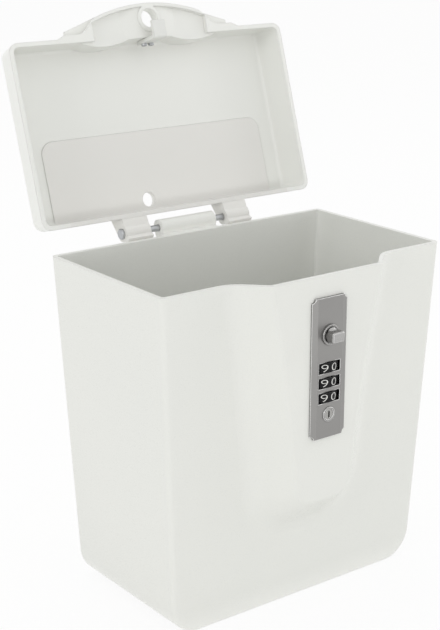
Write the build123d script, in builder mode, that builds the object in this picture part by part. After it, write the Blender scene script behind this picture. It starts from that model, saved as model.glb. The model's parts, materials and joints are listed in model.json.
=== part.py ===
# Travel safe: an open plastic box with a hinged cap lid, a proud lock panel on its front
# with three number wheels, a turn knob, a key cylinder and a turning latch cam.
# Millimetres. X runs across the front, the front faces -Y, the base stands on Z = 0.
# The lid is drawn shut and then swung open about its hinge.

import math
import os

from build123d import *

# Box
rim_width = 200.0
rim_depth = 110.0
body_height = 202.0
base_width = 179.0
base_depth = 99.0
base_back_shift = 0.5  # the base sits a little behind the middle of the rim
wall = 2.6
floor_thickness = 3.0
base_corner_radius = 19.0
upright_edge_radius = 3.2
inner_edge_radius = 1.2

# Lock panel, the proud tapered pilaster on the front wall
panel_top_half = 39.5
panel_mid_half = 27.2
panel_low_half = 18.5
panel_mid_height = 137.0
panel_bottom_height = 69.5
panel_corner_radius = 11.0
panel_flank_angle = 45.0
panel_foot_radius = 16.0
panel_crest_radius = 3.0

# Lid
lid_gap = 0.4
lid_depth = 20.8
lid_lip_inset = 0.7
lid_side_flare = 4.8
lid_front_flare = 0.4
lid_back_flare = 1.0
lid_wall = 2.6
lid_top_radius = 5.0
lid_corner_radius = 6.0
lid_open_angle = 107.7

# Tongue of the lid, which covers the top of the lock panel
brim_overhang = 1.6
brim_arc_half = 35.0
brim_arc_drop = 5.4
brim_skirt = 2.0
brim_hollow_depth = 3.0
brim_hollow_half = 41.5
visor_half = 59.0
visor_front = 4.8
collar_proud = 2.4
collar_half = 61.0
collar_step = 5.0
shoulder_half = 52.0
scoop_x = 33.0
scoop_half = 17.0
scoop_depth = 3.2
mound_radius = 20.0
ring_outer_diameter = 16.4
ring_hole_diameter = 11.4
ring_height = 0.6
ring_back_of_tip = 9.2
ring_proud = 0.9
lid_step_height = 0.6
lid_step_half = 81.0
lid_step_front = 2.0
lid_step_corner = 8.0
cable_hole_diameter = 9.0
cable_hole_x = -13.0
cable_hole_from_back = 9.0

# Hinge
hinge_behind_rim = 7.9
hinge_above_rim = 3.0
knuckle_radius = 5.0
hinge_pin_radius = 2.0
hinge_pin_clearance = 0.08
lid_knuckle_outer = 46.0
lid_knuckle_inner = 28.4
body_knuckle_half = 20.0
hinge_pin_head = 1.6
hinge_pin_head_radius = 3.2
lug_drop = 26.0
lid_lug_height = 13.0
lid_lug_lift = 0.4
lid_lug_root = 1.5
lid_lug_belly_inset = 2.0
lid_lug_belly_lift = 1.2
lid_lug_crown_offset = 1.0
lid_lug_crown_drop = 0.2
lid_lug_cap_root = 1.2
stop_heel_length = 7.4
stop_heel_thickness = 4.0
stop_heel_angle = 45.0

# Lock plate on the face of the panel
plate_width = 25.2
plate_flat_width = 18.4
plate_below_rim = 12.0
plate_height = 82.0
plate_thickness = 2.0
plate_edge_thickness = 1.0
plate_notch_radius = 2.3

# Number wheels
wheel_count = 3
wheel_radius = 10.75
wheel_height = 5.9
wheel_edge = 0.25
wheel_pitch = 8.75
wheels_below_knob = 27.65
wheel_proud = 1.0
window_width = 15.5
window_clearance = 0.2
sleeve_radius = 6.0
neck_radius = 5.0
sleeve_bore_radius = 4.5
ledge_thickness = 1.5
rod_radius = 2.4
rod_clearance = 0.2
tooth_width = 1.8
tooth_height = 1.4
tooth_reach = 4.1
tooth_clearance = 0.25
fit_clearance = 0.05
digit_count = 10
groove_radius = 0.7
groove_depth = 0.3

# Lock case behind the panel face
case_half_width = 13.0
case_wall = 1.6
case_below_key = 10.3
rib_thickness = 1.9
case_flange_height = 7.0
case_back_gap = 0.4
case_cover_gap = 0.9
rod_lift = 0.2
spring_thickness = 0.3
spring_finger_dip = 0.25
spring_finger_width = 3.0
spring_inset = 0.2

# Knob, spindle and latch cam
knob_below_rim = 33.6
knob_length = 8.6
knob_thickness = 6.0
knob_corner_radius = 1.2
knob_base_radius = 4.4
knob_base_length = 1.0
knob_block_length = 4.6
knob_reach = 7.4
knob_gap = 0.3
knob_chamfer = 0.6
knob_pin_radius = 0.7
knob_end_wall = 3.0
knob_bore_play = 0.2
stub_radius = 1.8
bush_nut_flats = 10.4
nut_edge = 0.3
bush_radius = 6.0
bush_mouth_depth = 0.9
bush_mouth_gap = 0.45
bush_thread_radius = 4.1
bush_nut_thickness = 2.0
bush_nut_gap = 0.4
bush_flange = 1.2
spindle_radius = 3.2
spindle_square = 3.8
cam_thickness = 3.0
cam_behind_gap = 4.8
cam_hub_radius = 5.2
cam_finger = 2.6
cam_finger_lead = 9.0
cam_arm_lag = 22.0
cam_arm_width = 5.6
knob_turn = 90.0
crank_radius = 4.0
crank_pin_radius = 1.0
crank_slot_clearance = 0.25
yoke_thickness = 2.0
yoke_gap = 0.2
yoke_head = 1.5
yoke_half_width = 6.3

# Keeper, a bent hook inside the front of the lid
keeper_width = 9.0
keeper_leg = 2.2
keeper_leg_height = 12.0
keeper_floor = 2.0
keeper_floor_drop = 6.7
keeper_floor_clearance = 0.9
keeper_reach = 0.95
keeper_bend_radius = 1.5
keeper_screw_spacing = 5.0
keeper_screw_height = 7.0
keeper_screw_bite = 1.9
keeper_screw_radius = 0.9
keeper_screw_head_radius = 1.8

# Key cylinder
key_below_wheels = 18.95
key_housing_radius = 4.4
key_thread_radius = 3.8
key_plug_radius = 3.0
key_length = 15.0
keyway_width = 1.1
keyway_height = 4.2
keyway_depth = 9.0
key_housing_proud = 0.6
key_plug_recess = 0.2
key_plug_tail = 0.2
key_lever_rim = 0.6
key_nut_flats = 9.4
key_nut_thickness = 2.0
key_lever_reach = 7.6
key_lever_thickness = 1.5
key_lever_width = 4.0

# Inner cover over the lock
cover_thickness = 2.0
cover_below_rim = 16.0
cover_bottom = 42.0
cover_top_half = 63.0
cover_bottom_half = 45.0
cover_corner_radius = 18.0
boss_radius = 3.6
high_boss_x = 37.5
high_boss_below_cover = 8.0
low_boss_x = 21.0
low_boss_above_cover = 32.0
screw_radius = 1.3
screw_head_radius = 2.6
screw_head_height = 1.7
screw_length = 8.0
screw_slot_width = 0.7
screw_hole_play = 0.1
screw_thread_bite = 0.1
plate_screw_x = 9.2
plate_screw_below_top = 9.0
plate_boss_radius = 2.7
plate_screw_bite = 0.8

# Places worked out from the sizes above
front_rim = -rim_depth / 2
back_rim = rim_depth / 2
front_base = base_back_shift - base_depth / 2
back_base = base_back_shift + base_depth / 2
front_slope = (front_base - front_rim) / body_height
knob_height = body_height - knob_below_rim
plate_top = body_height - plate_below_rim
plate_bottom = plate_top - plate_height
middle_wheel_height = knob_height - wheels_below_knob
key_height = middle_wheel_height - key_below_wheels
case_bottom = key_height - case_below_key
cover_top = body_height - cover_below_rim
wheel_heights = [
    middle_wheel_height + wheel_pitch * (wheel_count - 1) / 2 - wheel_pitch * index
    for index in range(wheel_count)
]
case_top = wheel_heights[0] + wheel_pitch / 2 + rib_thickness / 2
plate_screw_places = [
    (-plate_screw_x, plate_top - plate_screw_below_top),
    (-plate_screw_x, case_top + case_flange_height / 2),
    (plate_screw_x, case_top + case_flange_height / 2),
]
# The panel stands proud by what the lock takes up in front of the inner cover
lock_depth = 2 * wheel_radius + case_back_gap + case_cover_gap - plate_thickness - wheel_proud
panel_face = front_base - front_slope * case_top + wall - lock_depth
panel_proud = front_rim - panel_face
panel_inner_face = panel_face + wall
plate_face = panel_face - plate_thickness
hinge_y = back_rim + hinge_behind_rim
hinge_z = body_height + hinge_above_rim
hinge_axis = Axis((0, hinge_y, hinge_z), (1, 0, 0))
lip = body_height + lid_gap
lid_top = lip + lid_depth
keeper_floor_top = lip - keeper_floor_drop
cam_radius = keeper_floor_top + keeper_floor_clearance + cam_finger / 2 - knob_height
tongue_tip = panel_face - brim_overhang
ring_y = tongue_tip + ring_back_of_tip
wheel_axis_y = plate_face - wheel_proud + wheel_radius
case_back = wheel_axis_y + wheel_radius + case_back_gap
keeper_y = (
    front_rim + lid_lip_inset + lid_wall + lid_front_flare * keeper_leg_height / lid_depth
    + fit_clearance
)
cam_back = keeper_y - cam_behind_gap
cam_front = cam_back - cam_thickness
crank_travel = 2 * crank_radius * math.sin(math.radians(knob_turn / 2))
knob_back = plate_face - bush_flange + bush_mouth_depth - knob_gap
yoke_front = cam_back + yoke_gap
foot_height = case_top + rod_lift
finger_sweep = cam_arm_lag + cam_finger_lead
# The box's front wall from inside: X across, Y up the wall, Z out through the wall
inner_wall = Plane(
    origin=(0, front_base + wall, 0),
    x_dir=(1, 0, 0),
    z_dir=(0, -1, -front_slope),
)


def front_wall(height):
    # y of the outside of the front wall
    return front_base - front_slope * height


def back_wall(height):
    return back_base + (back_rim - back_base) * height / body_height


def side_wall(height):
    return (base_width + (rim_width - base_width) * height / body_height) / 2


def box_form(inset, bottom, top):
    # The box's outside, or its inside when inset by the wall
    with BuildPart() as form:
        with BuildSketch(Plane.XZ):
            with BuildLine():
                Polyline(
                    (inset - side_wall(bottom), bottom),
                    (side_wall(bottom) - inset, bottom),
                    (side_wall(top) - inset, top),
                    (inset - side_wall(top), top),
                    close=True,
                )
            make_face()
            fillet(vertices().group_by(Axis.Y)[0], base_corner_radius - inset)
        extrude(amount=rim_depth, both=True)
        with BuildSketch(Plane.YZ):
            with BuildLine():
                Polyline(
                    (front_wall(bottom) + inset, bottom),
                    (back_wall(bottom) - inset, bottom),
                    (back_wall(top) - inset, top),
                    (front_wall(top) + inset, top),
                    close=True,
                )
            make_face()
        extrude(amount=rim_width, both=True, mode=Mode.INTERSECT)
        front = form.faces().sort_by(Axis.Y)[0].edges()
        back = form.faces().sort_by(Axis.Y)[-1].edges()
        uprights = (front + back).filter_by(lambda edge: edge.center().Z < top - 0.1)
        fillet(uprights, inner_edge_radius if inset else upright_edge_radius)
    return form.part


def panel_form(inset):
    # The tapered lock panel, drawn on its face and growing towards the box
    shrink = inset * math.tan(math.radians(panel_flank_angle / 2))
    low = panel_bottom_height + shrink
    depth = panel_proud + front_base - front_rim + 1
    with BuildPart() as form:
        with BuildSketch(Plane.XZ.offset(-panel_face - inset)) as outline:
            with BuildLine():
                ThreePointArc(
                    (panel_top_half - shrink, body_height),
                    (panel_mid_half - shrink, panel_mid_height),
                    (panel_low_half - shrink, low),
                )
                Line((panel_low_half - shrink, low), (shrink - panel_low_half, low))
                ThreePointArc(
                    (shrink - panel_low_half, low),
                    (shrink - panel_mid_half, panel_mid_height),
                    (shrink - panel_top_half, body_height),
                )
                Line(
                    (shrink - panel_top_half, body_height),
                    (panel_top_half - shrink, body_height),
                )
            make_face()
            fillet(outline.vertices().group_by(Axis.Y)[0], panel_corner_radius - shrink)
        extrude(amount=-depth, taper=-panel_flank_angle)
    return form.part


def safe_form(inset, bottom, top):
    # Box and lock panel as one smooth solid, cut off level at the top
    with BuildPart() as form:
        add(box_form(inset, bottom, top))
        add(panel_form(inset))
        split(bisect_by=Plane.XY.offset(top), keep=Keep.BOTTOM)
        front_faces = form.faces().filter_by(GeomType.PLANE).filter_by(
            lambda face: face.normal_at().Y < -0.9
        )
        wall_face = front_faces.sort_by(Axis.Y)[-1]
        foot = wall_face.edges().filter_by(
            lambda edge: edge.center().Z > panel_bottom_height - panel_proud * 2
            and edge.center().Z < top - 0.1
            and abs(edge.center().X) < panel_top_half + panel_proud * 2
        )
        fillet(foot, panel_foot_radius + inset)
        crest_face = form.faces().sort_by(Axis.Y)[0]
        crest = crest_face.edges().filter_by(lambda edge: edge.center().Z < top - 0.1)
        fillet(crest, panel_crest_radius - inset)
    return form.part


outside = safe_form(0, 0, body_height)
inside = safe_form(wall, floor_thickness, body_height + 1)

# Screw bosses for the inner cover, standing inside the panel and trimmed by its outside
cover_screw_places = [
    (side * x, z)
    for side in (-1, 1)
    for x, z in (
        (high_boss_x, cover_top - high_boss_below_cover),
        (low_boss_x, cover_bottom + low_boss_above_cover),
    )
]
with BuildPart() as cover_bosses:
    with BuildSketch(inner_wall):
        with Locations(cover_screw_places):
            Circle(boss_radius)
    extrude(amount=rim_depth / 2)
    add(outside, mode=Mode.INTERSECT)

knuckle_bore_radius = hinge_pin_radius + hinge_pin_clearance


def knuckle_lug(half_length, middle, corners):
    # A hinge barrel with its web, drawn from the side and running along X
    with BuildPart() as lug:
        with BuildSketch(Plane.YZ.offset(middle)):
            with Locations((hinge_y, hinge_z)):
                Circle(knuckle_radius)
            with BuildLine():
                Polyline(*corners, close=True)
            make_face()
        extrude(amount=half_length, both=True)
    return lug.part


body_lug = knuckle_lug(
    body_knuckle_half,
    0,
    [
        (back_wall(body_height - lug_drop) - 1, body_height - lug_drop),
        (hinge_y + knuckle_radius * 0.8, hinge_z - knuckle_radius * 0.6),
        (hinge_y, hinge_z),
        (hinge_y - knuckle_radius, body_height - 0.2),
        (back_rim - 1, body_height - 0.2),
    ],
)

# Box
with BuildPart() as body_shell:
    add(outside)
    add(body_lug)
    add(inside, mode=Mode.SUBTRACT)
    add(cover_bosses.part)
    with BuildSketch(inner_wall):
        with Locations(cover_screw_places):
            Circle(screw_radius * 0.85)
    extrude(amount=screw_length - cover_thickness + 0.5, mode=Mode.SUBTRACT)
    with BuildSketch(Plane.XZ.offset(-panel_face)):
        with Locations((0, knob_height)):
            Circle(bush_thread_radius)
        with Locations((0, key_height)):
            Circle(key_thread_radius + fit_clearance)
        with Locations(plate_screw_places):
            Circle(plate_boss_radius + fit_clearance)
        with Locations((0, middle_wheel_height)):
            Rectangle(
                2 * case_half_width - 4 * case_wall,
                wheel_pitch * wheel_count - rib_thickness,
            )
    extrude(amount=-wall, mode=Mode.SUBTRACT)
    with BuildSketch(Plane.YZ):
        with Locations((hinge_y, hinge_z)):
            Circle(knuckle_bore_radius)
    extrude(amount=rim_width, both=True, mode=Mode.SUBTRACT)


# Lid, drawn shut
keeper_screw_places = [
    (side * keeper_screw_spacing / 2, lip + keeper_screw_height) for side in (-1, 1)
]
lip_half = rim_width / 2 - lid_lip_inset
lip_front = front_rim + lid_lip_inset
lip_back = back_rim - lid_lip_inset


def cap_form(inset):
    bottom = lip - (1 if inset else 0)
    top = lid_top - inset
    with BuildPart() as form:
        with BuildSketch(Plane.XZ):
            with BuildLine():
                Polyline(
                    (inset - lip_half, bottom),
                    (lip_half - inset, bottom),
                    (lip_half - lid_side_flare - inset, top),
                    (lid_side_flare + inset - lip_half, top),
                    close=True,
                )
            make_face()
        extrude(amount=rim_depth, both=True)
        with BuildSketch(Plane.YZ):
            with BuildLine():
                Polyline(
                    (lip_front + inset, bottom),
                    (lip_back - inset, bottom),
                    (lip_back - lid_back_flare - inset, top),
                    (lip_front + lid_front_flare + inset, top),
                    close=True,
                )
            make_face()
        extrude(amount=rim_width, both=True, mode=Mode.INTERSECT)
        level = form.edges().filter_by(lambda edge: abs(edge.tangent_at(0.5).Z) < 0.1)
        fillet(form.edges() - level, lid_corner_radius - inset)
        fillet(form.faces().sort_by(Axis.Z)[-1].edges(), lid_top_radius - inset)
    return form.part


cap_outside = cap_form(0)
cap_inside = cap_form(lid_wall)

# The cap's front is drawn in by two shallow scoops, one each side of the eye
scoop_radius = (scoop_half**2 + scoop_depth**2) / (2 * scoop_depth)
brim_top = lip + brim_hollow_depth + lid_wall


def scoop_form(outset, bottom):
    with BuildPart() as form:
        with BuildSketch(Plane.XY.offset(bottom)):
            for side in (-1, 1):
                with Locations((side * scoop_x, lip_front + scoop_depth - scoop_radius)):
                    Circle(scoop_radius + outset)
        extrude(amount=lid_top + 1 - bottom)
    return form.part


# Tongue: a skirt under a visor, hollow below, with the eye on a mound in its middle
arc_end = (brim_arc_half, tongue_tip + brim_arc_drop)
arc_radius = (brim_arc_half**2 + brim_arc_drop**2) / (2 * brim_arc_drop)
arc_centre_y = tongue_tip + arc_radius
collar_y = lip_front - collar_proud
root_y = lip_front + lid_wall / 2
with BuildPart() as tongue:
    with BuildSketch(Plane.XY.offset(lip)):
        with BuildLine():
            lip_arc = ThreePointArc((-brim_arc_half, arc_end[1]), (0, tongue_tip), arc_end)
            shoulder = Spline(
                arc_end,
                ((brim_arc_half + shoulder_half) / 2, (arc_end[1] + collar_y) / 2 + 0.8),
                (shoulder_half, collar_y),
                tangents=[lip_arc % 1, (1, 0)],
            )
            collar = Polyline(
                (shoulder_half, collar_y),
                (collar_half, collar_y),
                (collar_half + collar_step, lip_front),
                (collar_half + collar_step, root_y),
                (0, root_y),
            )
            mirror(shoulder, about=Plane.YZ)
            mirror(collar, about=Plane.YZ)
        make_face()
    extrude(amount=brim_hollow_depth + lid_wall)
    with BuildSketch(Plane.XY.offset(lip + brim_hollow_depth)):
        with BuildLine():
            ThreePointArc((-brim_arc_half, arc_end[1]), (0, tongue_tip), arc_end)
            Polyline(
                arc_end,
                (visor_half, lip_front - visor_front),
                (visor_half, root_y),
                (-visor_half, root_y),
                (-visor_half, lip_front - visor_front),
                (-brim_arc_half, arc_end[1]),
            )
        make_face()
    extrude(amount=lid_wall)
    fillet(tongue.faces().sort_by(Axis.Z)[-1].edges(), lid_wall * 0.3)

with BuildPart() as brim_hollow:
    with BuildSketch(Plane.XY.offset(lip)):
        with Locations((0, arc_centre_y)):
            Circle(arc_radius - brim_skirt)
        with Locations((0, lip_front + 2 * lid_wall)):
            Rectangle(
                2 * brim_hollow_half, rim_depth, align=(Align.CENTER, Align.MAX), mode=Mode.INTERSECT
            )
    extrude(amount=brim_hollow_depth)

# The cone that carries the eye, inside the hollow of the tongue
with BuildPart() as mound:
    with BuildSketch(Plane.YZ):
        with BuildLine():
            Polyline(
                (ring_y, lip + ring_proud),
                (ring_y + ring_outer_diameter / 2, lip + ring_proud),
                (ring_y + mound_radius, lip + brim_hollow_depth),
                (ring_y, lip + brim_hollow_depth),
                close=True,
            )
        make_face()
    revolve(axis=Axis((0, ring_y, 0), (0, 0, 1)))
    add(brim_hollow.part, mode=Mode.INTERSECT)
    split(bisect_by=Plane.XZ.offset(-lip_front - lid_wall), keep=Keep.TOP)

lid_lug_bottom = lip + lid_lug_lift
lid_lugs = [
    knuckle_lug(
        (lid_knuckle_outer - lid_knuckle_inner) / 2,
        side * (lid_knuckle_outer + lid_knuckle_inner) / 2,
        [
            (lip_back - lid_lug_root, lid_lug_bottom),
            (hinge_y - lid_lug_belly_inset, hinge_z - knuckle_radius + lid_lug_belly_lift),
            (hinge_y, hinge_z),
            (hinge_y + lid_lug_crown_offset, hinge_z + knuckle_radius - lid_lug_crown_drop),
            (lip_back - lid_back_flare - lid_lug_cap_root, lip + lid_lug_height),
        ],
    )
    for side in (-1, 1)
]

with BuildPart() as stop_heels:
    with BuildSketch(
        Plane(
            origin=(0, hinge_y, hinge_z),
            x_dir=(1, 0, 0),
            z_dir=(0, math.cos(math.radians(stop_heel_angle)), -math.sin(math.radians(stop_heel_angle))),
        )
    ):
        for side in (-1, 1):
            with Locations((side * (lid_knuckle_outer + lid_knuckle_inner) / 2, 0)):
                Rectangle(lid_knuckle_outer - lid_knuckle_inner, stop_heel_thickness)
    extrude(amount=stop_heel_length)

with BuildPart() as cap_hollow:
    add(cap_inside)
    add(scoop_form(lid_wall, lip + brim_hollow_depth), mode=Mode.SUBTRACT)

with BuildPart() as lid_shell:
    add(cap_outside)
    add(scoop_form(0, brim_top), mode=Mode.SUBTRACT)
    add(tongue.part)
    add(lid_lugs)
    add(stop_heels.part)
    add(cap_hollow.part, mode=Mode.SUBTRACT)
    add(brim_hollow.part, mode=Mode.SUBTRACT)
    add(mound.part)
    with BuildSketch(Plane.XY.offset(lid_top - lid_wall)):
        with Locations((0, (lid_step_front + lip_back - lid_wall) / 2)):
            Rectangle(2 * lid_step_half, lip_back - lid_wall - lid_step_front)
        fillet(vertices().group_by(Axis.Y)[0], lid_step_corner)
    extrude(amount=-lid_step_height)
    with BuildSketch(Plane.XY.offset(lip)):
        with Locations((0, ring_y)):
            Circle(ring_outer_diameter / 2)
    extrude(amount=brim_hollow_depth + lid_wall + ring_height)
    with BuildSketch(Plane.XY.offset(lip)):
        with Locations((0, ring_y)):
            Circle(ring_hole_diameter / 2)
        with Locations((cable_hole_x, lip_back - lid_back_flare - cable_hole_from_back)):
            Circle(cable_hole_diameter / 2)
    extrude(amount=lid_depth + 1, mode=Mode.SUBTRACT)
    with BuildSketch(Plane.XZ.offset(-keeper_y - 1)):
        with Locations(keeper_screw_places):
            Circle(keeper_screw_radius)
    extrude(amount=keeper_screw_bite + 1, mode=Mode.SUBTRACT)
    with BuildSketch(Plane.YZ):
        with Locations((hinge_y, hinge_z)):
            Circle(knuckle_bore_radius)
    extrude(amount=rim_width, both=True, mode=Mode.SUBTRACT)


# Pin through all hinge barrels, headed at one end
with BuildPart() as hinge_pin:
    with BuildSketch(Plane.YZ.offset(-lid_knuckle_outer)):
        with Locations((hinge_y, hinge_z)):
            Circle(hinge_pin_radius)
    extrude(amount=2 * lid_knuckle_outer + hinge_pin_head)
    with BuildSketch(Plane.YZ.offset(-lid_knuckle_outer)):
        with Locations((hinge_y, hinge_z)):
            Circle(hinge_pin_head_radius)
    extrude(amount=-hinge_pin_head)
    fillet(hinge_pin.faces().sort_by(Axis.X)[0].edges(), hinge_pin_head * 0.4)

# Hook inside the front of the lid: a leg screwed to the cap and a floor that reaches forward
with BuildPart() as keeper:
    with BuildSketch(Plane.YZ):
        with BuildLine():
            Polyline(
                (cam_front - keeper_reach, keeper_floor_top - keeper_floor),
                (keeper_y + keeper_leg, keeper_floor_top - keeper_floor),
                (keeper_y + keeper_leg, lip + keeper_leg_height),
                (keeper_y, lip + keeper_leg_height),
                (keeper_y, keeper_floor_top),
                (cam_front - keeper_reach, keeper_floor_top),
                close=True,
            )
        make_face()
    extrude(amount=keeper_width / 2, both=True)
    along = keeper.edges().filter_by(Axis.X)
    bend = along.sort_by_distance((0, keeper_y + keeper_leg / 2, keeper_floor_top - keeper_floor / 2))
    fillet(bend[:2], keeper_bend_radius)
    with BuildSketch(Plane.XZ.offset(-keeper_y)):
        with Locations(keeper_screw_places):
            Circle(keeper_screw_radius + screw_hole_play)
    extrude(amount=-keeper_leg, mode=Mode.SUBTRACT)

# Panel screwed over the lock from inside the box
with BuildPart() as inner_cover:
    with BuildSketch(inner_wall) as cover_outline:
        with BuildLine():
            Polyline(
                (-cover_bottom_half, cover_bottom),
                (cover_bottom_half, cover_bottom),
                (cover_top_half, cover_top),
                (-cover_top_half, cover_top),
                close=True,
            )
        make_face()
        fillet(cover_outline.vertices().group_by(Axis.Y)[0], cover_corner_radius)
        fillet(cover_outline.vertices().group_by(Axis.Y)[-1], cover_corner_radius / 3)
        with Locations(cover_screw_places):
            Circle(screw_radius + screw_hole_play, mode=Mode.SUBTRACT)
    extrude(amount=-cover_thickness)
    fillet(inner_cover.faces().sort_by(Axis.Y)[-1].outer_wire().edges(), cover_thickness / 3)


def pan_screw(plane, places, shank, length, head_radius=screw_head_radius):
    # Round-headed screws with a cross slot, heads standing against the plane
    with BuildPart() as screws:
        with BuildSketch(plane):
            with Locations(places):
                Circle(shank)
        extrude(amount=length)
        with BuildSketch(plane):
            with Locations(places):
                Circle(head_radius)
        extrude(amount=-screw_head_height)
        heads = screws.faces().filter_by(GeomType.PLANE).filter_by(
            lambda face: face.area > math.pi * head_radius**2 * 0.95
        )
        fillet(heads.edges(), screw_head_height * 0.4)
        with BuildSketch(plane.offset(-screw_head_height)):
            with Locations(places):
                Rectangle(head_radius * 1.2, screw_slot_width)
                Rectangle(screw_slot_width, head_radius * 1.2)
        extrude(amount=screw_head_height * 0.5, mode=Mode.SUBTRACT)
    return screws.part


cover_screws = pan_screw(
    inner_wall.offset(-cover_thickness), cover_screw_places, screw_radius * 0.8, screw_length
)

# Lock plate with ticket-cut corners, windows and blind bosses behind
window_height = wheel_height + 2 * window_clearance
with BuildPart() as lock_plate:
    with BuildSketch(Plane.XY.offset(plate_bottom)):
        with BuildLine():
            Polyline(
                (-plate_width / 2, panel_face),
                (plate_width / 2, panel_face),
                (plate_width / 2, panel_face - plate_edge_thickness),
                (plate_flat_width / 2, plate_face),
                (-plate_flat_width / 2, plate_face),
                (-plate_width / 2, panel_face - plate_edge_thickness),
                close=True,
            )
        make_face()
    extrude(amount=plate_top - plate_bottom)
    with BuildSketch(Plane.XZ.offset(-panel_face)):
        with Locations((0, (plate_top + plate_bottom) / 2)):
            with GridLocations(plate_width, plate_top - plate_bottom, 2, 2):
                Circle(plate_notch_radius)
        with Locations((0, knob_height)):
            Circle(bush_thread_radius + fit_clearance)
        with Locations([(0, height) for height in wheel_heights]):
            Rectangle(window_width, window_height)
        with Locations((0, key_height)):
            Circle(key_thread_radius + fit_clearance)
    extrude(amount=plate_thickness, mode=Mode.SUBTRACT)
    with BuildSketch(Plane.XZ.offset(-panel_face)):
        with Locations(plate_screw_places):
            Circle(plate_boss_radius)
    extrude(amount=-wall)
    with BuildSketch(Plane.XZ.offset(-panel_inner_face)):
        with Locations(plate_screw_places):
            Circle(screw_radius)
    extrude(amount=wall + plate_screw_bite, mode=Mode.SUBTRACT)

# Lock case: open at the back, with a rib above and below each wheel
case_inner = case_half_width - case_wall
rib_heights = [
    wheel_heights[0] + wheel_pitch / 2 - wheel_pitch * index
    for index in range(wheel_count + 1)
]
case_height = case_top - case_bottom
front_opening = math.sqrt(wheel_radius**2 - (wheel_axis_y - panel_inner_face - case_wall) ** 2)
with BuildPart() as lock_case:
    with BuildSketch(Plane.XY.offset(case_bottom)):
        with Locations((0, (panel_inner_face + case_back) / 2)):
            Rectangle(2 * case_half_width, case_back - panel_inner_face)
    extrude(amount=case_height)
    with BuildSketch(Plane.XY.offset(case_bottom + case_wall)):
        with Locations((0, (panel_inner_face + case_wall + case_back) / 2)):
            Rectangle(2 * case_inner, case_back - panel_inner_face - case_wall)
    extrude(amount=case_height - case_wall, mode=Mode.SUBTRACT)
    for height in rib_heights:
        with BuildSketch(Plane.XY.offset(height - rib_thickness / 2)):
            with Locations((0, (panel_inner_face + case_back) / 2)):
                Rectangle(2 * case_inner, case_back - panel_inner_face)
        extrude(amount=rib_thickness)
    with BuildSketch(Plane.XY.offset(rib_heights[-1] - rib_thickness / 2)):
        with Locations((0, wheel_axis_y)):
            Circle(neck_radius + fit_clearance)
    extrude(amount=case_top - rib_heights[-1] + rib_thickness, mode=Mode.SUBTRACT)
    with BuildSketch(Plane.XZ.offset(-panel_inner_face)):
        with Locations((0, case_top)):
            Rectangle(
                2 * case_half_width, case_flange_height, align=(Align.CENTER, Align.MIN)
            )
        with Locations(plate_screw_places[1:]):
            Circle(screw_radius + screw_hole_play, mode=Mode.SUBTRACT)
    extrude(amount=-case_wall)
    with BuildSketch(Plane.XZ.offset(-panel_inner_face)):
        with Locations([(0, height) for height in wheel_heights]):
            Rectangle(2 * (front_opening + case_back_gap), wheel_pitch - rib_thickness)
        with Locations((0, key_height)):
            Circle(key_thread_radius + fit_clearance)
    extrude(amount=-case_wall, mode=Mode.SUBTRACT)


def number_wheel(height):
    # Wheel with a shallow groove between each two of its ten digits
    with BuildPart() as wheel:
        with BuildSketch(Plane.XY.offset(height - wheel_height / 2)):
            with Locations((0, wheel_axis_y)):
                Circle(wheel_radius)
                with PolarLocations(
                    wheel_radius - groove_depth + groove_radius,
                    digit_count,
                    start_angle=-90,
                ):
                    Circle(groove_radius, mode=Mode.SUBTRACT)
                Circle(sleeve_radius + fit_clearance, mode=Mode.SUBTRACT)
        extrude(amount=wheel_height)
        rims = wheel.edges().filter_by(GeomType.CIRCLE).filter_by(
            lambda edge: edge.radius > wheel_radius - 0.1
        )
        chamfer(rims, wheel_edge)
    return wheel.part


def code_sleeve(height):
    # Sleeve inside a wheel, with an inner ledge that has one gate for a tooth of the rod
    neck_length = wheel_pitch - 2 * fit_clearance
    with BuildPart() as sleeve:
        with BuildSketch(Plane.XY.offset(height - neck_length / 2)):
            with Locations((0, wheel_axis_y)):
                Circle(neck_radius)
        extrude(amount=neck_length)
        with BuildSketch(Plane.XY.offset(height - wheel_height / 2)):
            with Locations((0, wheel_axis_y)):
                Circle(sleeve_radius)
        extrude(amount=wheel_height)
        with BuildSketch(Plane.XY.offset(height - neck_length / 2)):
            with Locations((0, wheel_axis_y)):
                Circle(sleeve_bore_radius)
        extrude(amount=neck_length, mode=Mode.SUBTRACT)
        with BuildSketch(Plane.XY.offset(height - ledge_thickness / 2)):
            with Locations((0, wheel_axis_y)):
                Circle(sleeve_bore_radius)
                Circle(rod_radius + rod_clearance, mode=Mode.SUBTRACT)
                Rectangle(
                    sleeve_bore_radius,
                    tooth_width + 2 * tooth_clearance,
                    align=(Align.MAX, Align.CENTER),
                    mode=Mode.SUBTRACT,
                )
        extrude(amount=ledge_thickness)
    return sleeve.part


number_wheels = [number_wheel(height) for height in wheel_heights]
code_sleeves = [code_sleeve(height) for height in wheel_heights]

# Rod that slides up the middle of the sleeves, with one tooth for each ledge
rod_bottom = rib_heights[-1] - rib_thickness / 2 + rod_lift
with BuildPart() as lock_rod:
    with BuildSketch(Plane.XY.offset(rod_bottom)):
        with Locations((0, wheel_axis_y)):
            Circle(rod_radius)
    extrude(amount=foot_height - rod_bottom)
    for height in wheel_heights:
        with BuildSketch(Plane.XY.offset(height - ledge_thickness / 2 - tooth_clearance)):
            with Locations((0, wheel_axis_y)):
                Rectangle(tooth_reach, tooth_width, align=(Align.MAX, Align.CENTER))
        extrude(amount=-tooth_height)

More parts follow.
